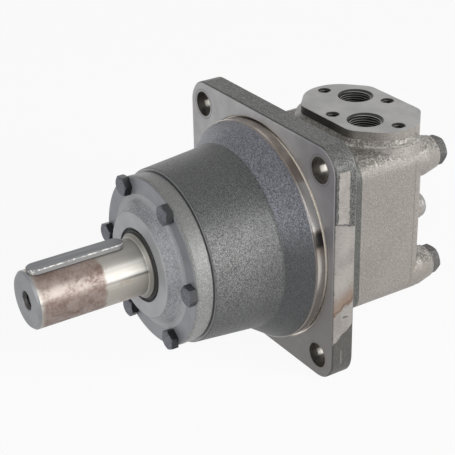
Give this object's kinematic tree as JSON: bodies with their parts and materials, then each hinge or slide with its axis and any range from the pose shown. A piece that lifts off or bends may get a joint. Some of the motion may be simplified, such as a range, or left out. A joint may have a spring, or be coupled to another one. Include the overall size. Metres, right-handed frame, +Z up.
{
  "type": "hydraulic wheel motor",
  "caption": "Low-speed orbital hydraulic motor for a wheel: keyed shaft, round bearing nose, rear-set square mounting flange and a port block with threaded ports on top.",
  "frame": {"origin": "centre of the mounting flange's front face, on the shaft axis", "axes": "+Z up towards the ports, the shaft's free end points to -Y, +X to the right seen from the shaft end"},
  "size_m": [0.175, 0.3075, 0.175],
  "materials": {
    "housing_iron": "shot-blasted dark casting, machined faces",
    "cover_iron": "light grey casting, machined rim and ring face",
    "body_iron": "warm grey casting, machined port face",
    "plate_steel": "ground flat",
    "shaft_steel": "ground, lightly stained",
    "key_steel": "drawn",
    "bolt_steel": "black oxide",
    "tie_bolt_steel": "phosphated",
    "black_rubber": "matt",
    "bearing_steel": "ground and polished",
    "cage_steel": "pressed",
    "gear_steel": "ground",
    "spring_steel": "plain",
    "plug_steel": "plain",
    "copper_washer": "soft copper"
  },
  "bodies": {
    "housing": {"bearing_housing": "housing_iron", "front_cover": "cover_iron", "cover_bolts": "bolt_steel", "cover_oring": "black_rubber", "shaft_seal": "black_rubber", "dust_wiper": "black_rubber", "bearing_shim": "plate_steel", "front_bearing_cup": "bearing_steel", "rear_bearing_cup": "bearing_steel", "wear_plate": "plate_steel", "wear_plate_oring": "black_rubber", "gear_ring": "plate_steel", "gear_ring_orings": "black_rubber", "channel_plate": "plate_steel", "channel_plate_oring": "black_rubber", "balance_plate": "gear_steel", "balance_orings": "black_rubber", "balance_spring": "spring_steel", "balance_pins": "gear_steel", "port_housing": "body_iron", "tie_bolts": "tie_bolt_steel", "check_spring_1": "spring_steel", "check_spring_2": "spring_steel", "check_plugs": "plug_steel", "drain_plug": "tie_bolt_steel", "drain_washer": "copper_washer"},
    "shaft": {"output_shaft": "shaft_steel", "shaft_key": "key_steel", "front_bearing_cone": "bearing_steel", "rear_bearing_cone": "bearing_steel"},
    "front_roller_set": {"front_bearing_rollers": "bearing_steel", "front_bearing_cage": "cage_steel"},
    "rear_roller_set": {"rear_bearing_rollers": "bearing_steel", "rear_bearing_cage": "cage_steel"},
    "orbit_disc": {"stop_disc": "gear_steel"},
    "rotor": {"rotor": "gear_steel"},
    "drive_link": {"drive_link": "gear_steel"},
    "valve_link": {"valve_link": "gear_steel"},
    "disc_valve": {"disc_valve": "gear_steel"},
    "stator_roller_1": {"stator_roller_1": "bearing_steel"},
    "stator_roller_2": {"stator_roller_2": "bearing_steel"},
    "stator_roller_3": {"stator_roller_3": "bearing_steel"},
    "stator_roller_4": {"stator_roller_4": "bearing_steel"},
    "stator_roller_5": {"stator_roller_5": "bearing_steel"},
    "stator_roller_6": {"stator_roller_6": "bearing_steel"},
    "stator_roller_7": {"stator_roller_7": "bearing_steel"},
    "check_ball_1": {"check_ball_1": "bearing_steel"},
    "check_ball_2": {"check_ball_2": "bearing_steel"}
  },
  "joints": [
    {"name": "shaft_spin", "type": "hinge", "parent": "housing", "child": "shaft", "pos_m": [0, -0.06, 0], "axis": [0, -1, 0], "continuous": true},
    {"name": "front_rollers_spin", "type": "hinge", "parent": "housing", "child": "front_roller_set", "pos_m": [0, -0.057, 0], "axis": [0, -1, 0], "continuous": true},
    {"name": "rear_rollers_spin", "type": "hinge", "parent": "housing", "child": "rear_roller_set", "pos_m": [0, -0.006, 0], "axis": [0, -1, 0], "continuous": true},
    {"name": "rotor_orbit", "type": "hinge", "parent": "housing", "child": "orbit_disc", "pos_m": [0, 0.031, 0], "axis": [0, -1, 0], "continuous": true},
    {"name": "rotor_spin", "type": "hinge", "parent": "orbit_disc", "child": "rotor", "pos_m": [0.0032, 0.031, 0], "axis": [0, -1, 0], "continuous": true},
    {"name": "drive_link_spin", "type": "hinge", "parent": "orbit_disc", "child": "drive_link", "pos_m": [0, -0.029, 0], "axis": [-0.0577, -0.9983, 0], "continuous": true},
    {"name": "valve_link_spin", "type": "hinge", "parent": "orbit_disc", "child": "valve_link", "pos_m": [0, 0.071, 0], "axis": [0.094, -0.9956, 0], "continuous": true},
    {"name": "disc_valve_spin", "type": "hinge", "parent": "housing", "child": "disc_valve", "pos_m": [0, 0.051, 0], "axis": [0, -1, 0], "continuous": true},
    {"name": "stator_roller_1_spin", "type": "hinge", "parent": "housing", "child": "stator_roller_1", "pos_m": [0.041, 0.031, 0], "axis": [0, -1, 0], "continuous": true},
    {"name": "stator_roller_2_spin", "type": "hinge", "parent": "housing", "child": "stator_roller_2", "pos_m": [0.02556, 0.031, 0.03206], "axis": [0, -1, 0], "continuous": true},
    {"name": "stator_roller_3_spin", "type": "hinge", "parent": "housing", "child": "stator_roller_3", "pos_m": [-0.00912, 0.031, 0.03997], "axis": [0, -1, 0], "continuous": true},
    {"name": "stator_roller_4_spin", "type": "hinge", "parent": "housing", "child": "stator_roller_4", "pos_m": [-0.03694, 0.031, 0.01779], "axis": [0, -1, 0], "continuous": true},
    {"name": "stator_roller_5_spin", "type": "hinge", "parent": "housing", "child": "stator_roller_5", "pos_m": [-0.03694, 0.031, -0.01779], "axis": [0, -1, 0], "continuous": true},
    {"name": "stator_roller_6_spin", "type": "hinge", "parent": "housing", "child": "stator_roller_6", "pos_m": [-0.00912, 0.031, -0.03997], "axis": [0, -1, 0], "continuous": true},
    {"name": "stator_roller_7_spin", "type": "hinge", "parent": "housing", "child": "stator_roller_7", "pos_m": [0.02556, 0.031, -0.03206], "axis": [0, -1, 0], "continuous": true},
    {"name": "check_ball_1_lift", "type": "slide", "parent": "housing", "child": "check_ball_1", "axis": [0, 1, 0], "range_m": [0, 0.0008], "stiffness_N_per_m": 500, "springref_m": -0.003, "deforming": ["check_spring_1"]},
    {"name": "check_ball_2_lift", "type": "slide", "parent": "housing", "child": "check_ball_2", "axis": [0, 1, 0], "range_m": [0, 0.0008], "stiffness_N_per_m": 500, "springref_m": -0.003, "deforming": ["check_spring_2"]}
  ],
  "couplings": [
    {"joint": "front_rollers_spin", "follows": "shaft_spin", "ratio": 0.4361},
    {"joint": "rear_rollers_spin", "follows": "shaft_spin", "ratio": 0.4415},
    {"joint": "rotor_orbit", "follows": "shaft_spin", "ratio": -6},
    {"joint": "rotor_spin", "follows": "shaft_spin", "ratio": 7},
    {"joint": "drive_link_spin", "follows": "shaft_spin", "ratio": 7},
    {"joint": "valve_link_spin", "follows": "shaft_spin", "ratio": 7},
    {"joint": "disc_valve_spin", "follows": "shaft_spin", "ratio": 1},
    {"joint": "stator_roller_1_spin", "follows": "shaft_spin", "ratio": -3.8},
    {"joint": "stator_roller_2_spin", "follows": "shaft_spin", "ratio": -3.8},
    {"joint": "stator_roller_3_spin", "follows": "shaft_spin", "ratio": -3.8},
    {"joint": "stator_roller_4_spin", "follows": "shaft_spin", "ratio": -3.8},
    {"joint": "stator_roller_5_spin", "follows": "shaft_spin", "ratio": -3.8},
    {"joint": "stator_roller_6_spin", "follows": "shaft_spin", "ratio": -3.8},
    {"joint": "stator_roller_7_spin", "follows": "shaft_spin", "ratio": -3.8}
  ]
}
